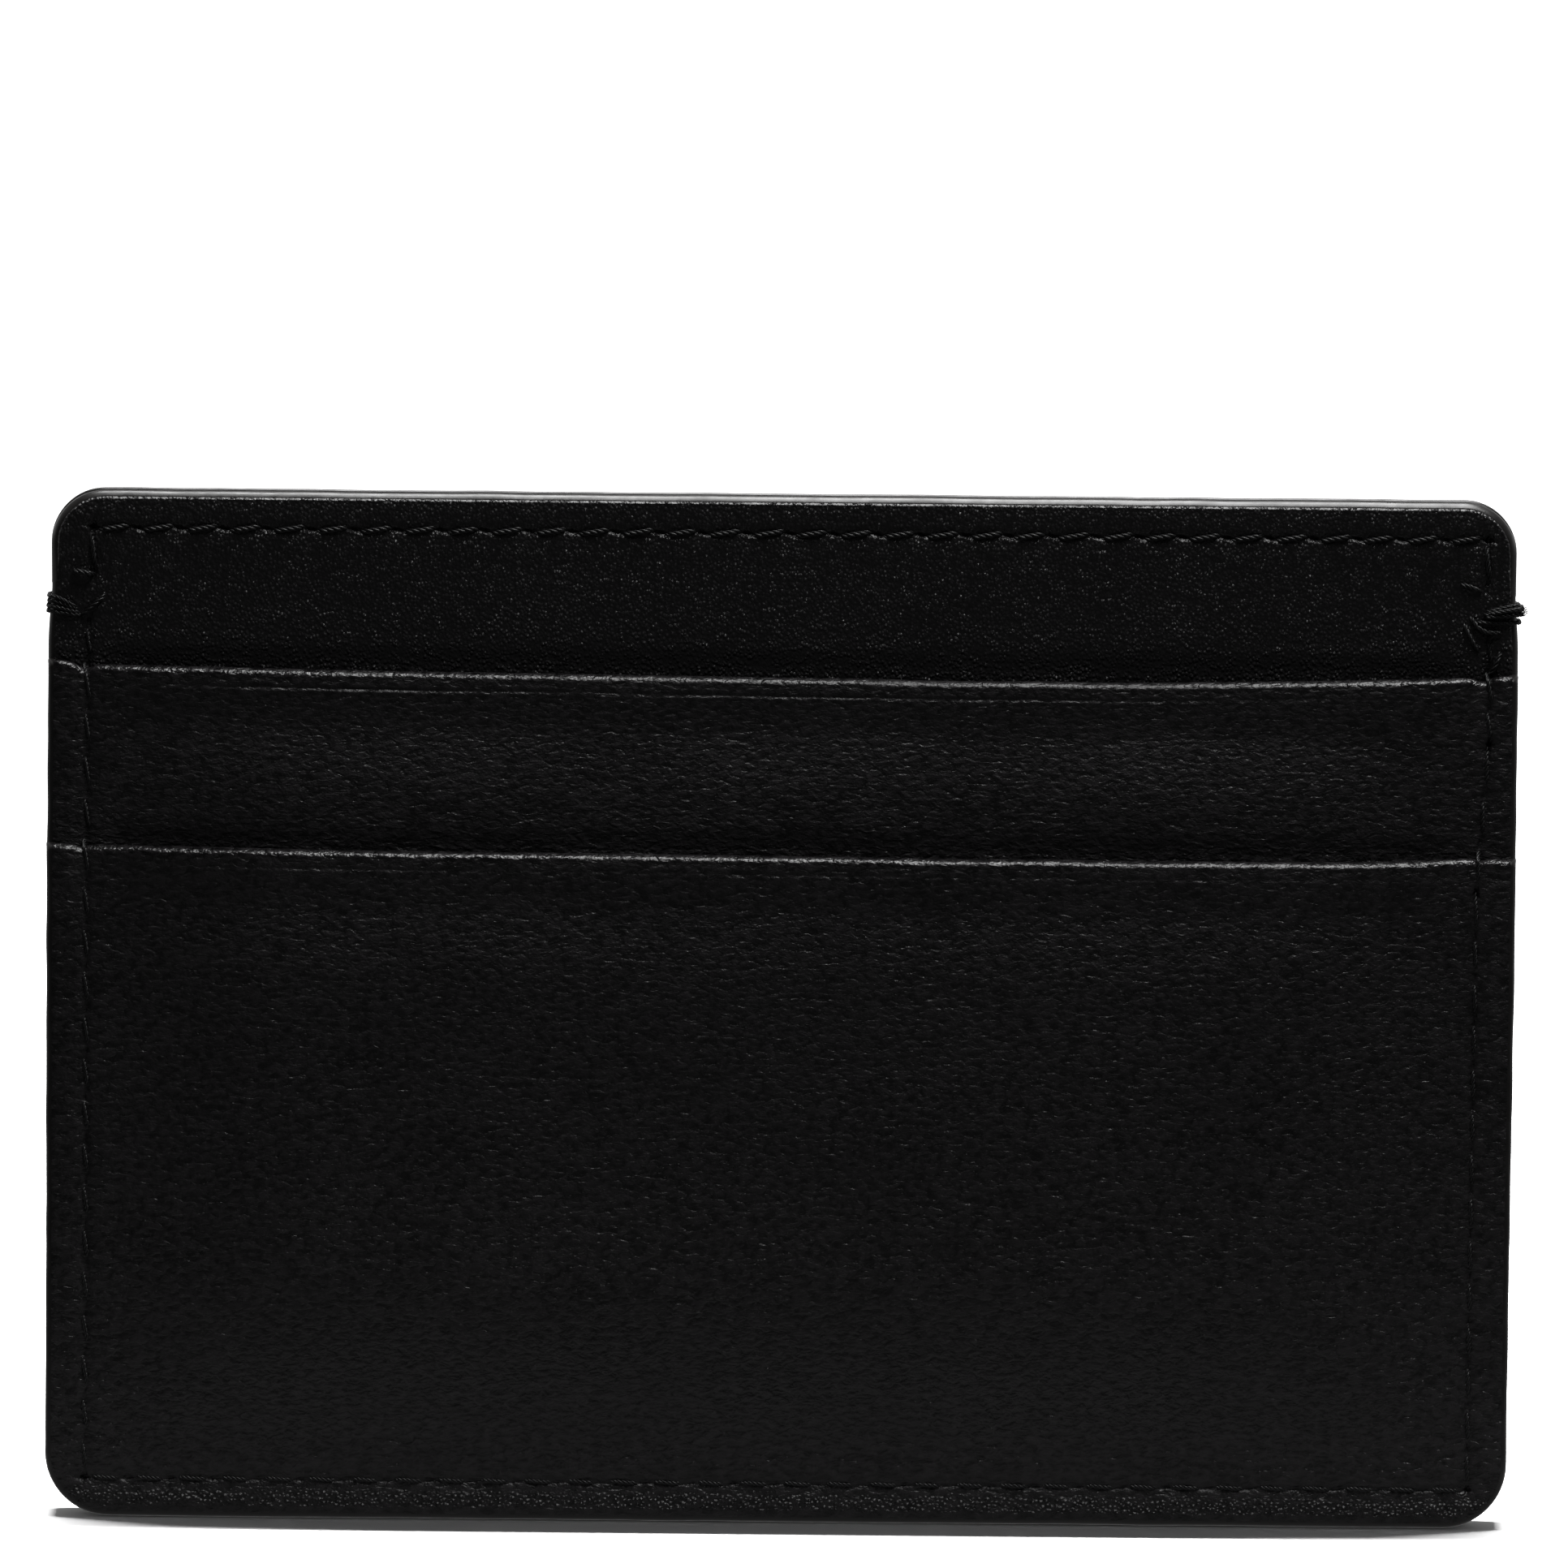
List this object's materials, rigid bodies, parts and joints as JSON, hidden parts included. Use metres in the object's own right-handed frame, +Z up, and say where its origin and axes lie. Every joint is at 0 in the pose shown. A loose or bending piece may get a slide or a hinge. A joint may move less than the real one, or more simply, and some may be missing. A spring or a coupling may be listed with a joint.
{
  "type": "card holder",
  "caption": "Slim stitched leather card holder with card slots stepped down its front, a centre pocket open at the top and a plain back.",
  "frame": {"origin": "middle of the bottom edge, at the middle of the thickness, on the surface it stands on", "axes": "+X across the width, to the right as the card slots are seen; +Y out of the plain back; +Z up to the centre pocket's mouth. The card slots face -Y."},
  "size_m": [0.1008, 0.0064, 0.0705],
  "materials": {
    "black_leather": "satin, finely wrinkled",
    "grained_leather": "satin, pin grain",
    "lining_cloth": "matt, fine weave",
    "edge_paint": "satin bead of edge paint",
    "black_thread": "twisted polyester, slight sheen"
  },
  "bodies": {
    "holder": {"edge_paint_bottom": "edge_paint", "edge_paint_left": "edge_paint", "edge_paint_right": "edge_paint", "front_backing": "grained_leather", "front_lining": "lining_cloth", "left_tack": "black_thread", "lower_pocket": "black_leather", "perimeter_bobbin_thread": "black_thread", "perimeter_needle_thread": "black_thread", "rear_lining": "lining_cloth", "rear_panel": "black_leather", "right_tack": "black_thread", "upper_pocket_fabric": "lining_cloth", "upper_pocket_face": "black_leather", "upper_pocket_hem": "lining_cloth", "upper_pocket_hem_thread": "black_thread", "upper_pocket_join_thread": "black_thread"},
    "front_lip": {"edge_paint_front_lip": "edge_paint", "front_lip": "grained_leather", "front_lip_bobbin_thread": "black_thread", "front_lip_lining": "lining_cloth", "front_lip_needle_thread": "black_thread"},
    "rear_lip": {"edge_paint_rear_lip": "edge_paint", "rear_lip": "black_leather", "rear_lip_bobbin_thread": "black_thread", "rear_lip_lining": "lining_cloth", "rear_lip_needle_thread": "black_thread"}
  },
  "joints": [
    {"name": "front_lip_bend", "type": "hinge", "parent": "holder", "child": "front_lip", "pos_m": [0, 0.00055, 0.0642], "axis": [1, 0, 0], "range_deg": [0, 20], "stiffness_Nm_per_rad": 0.005},
    {"name": "rear_lip_bend", "type": "hinge", "parent": "holder", "child": "rear_lip", "pos_m": [0, 0.0026, 0.0642], "axis": [-1, 0, 0], "range_deg": [0, 20], "stiffness_Nm_per_rad": 0.005}
  ]
}
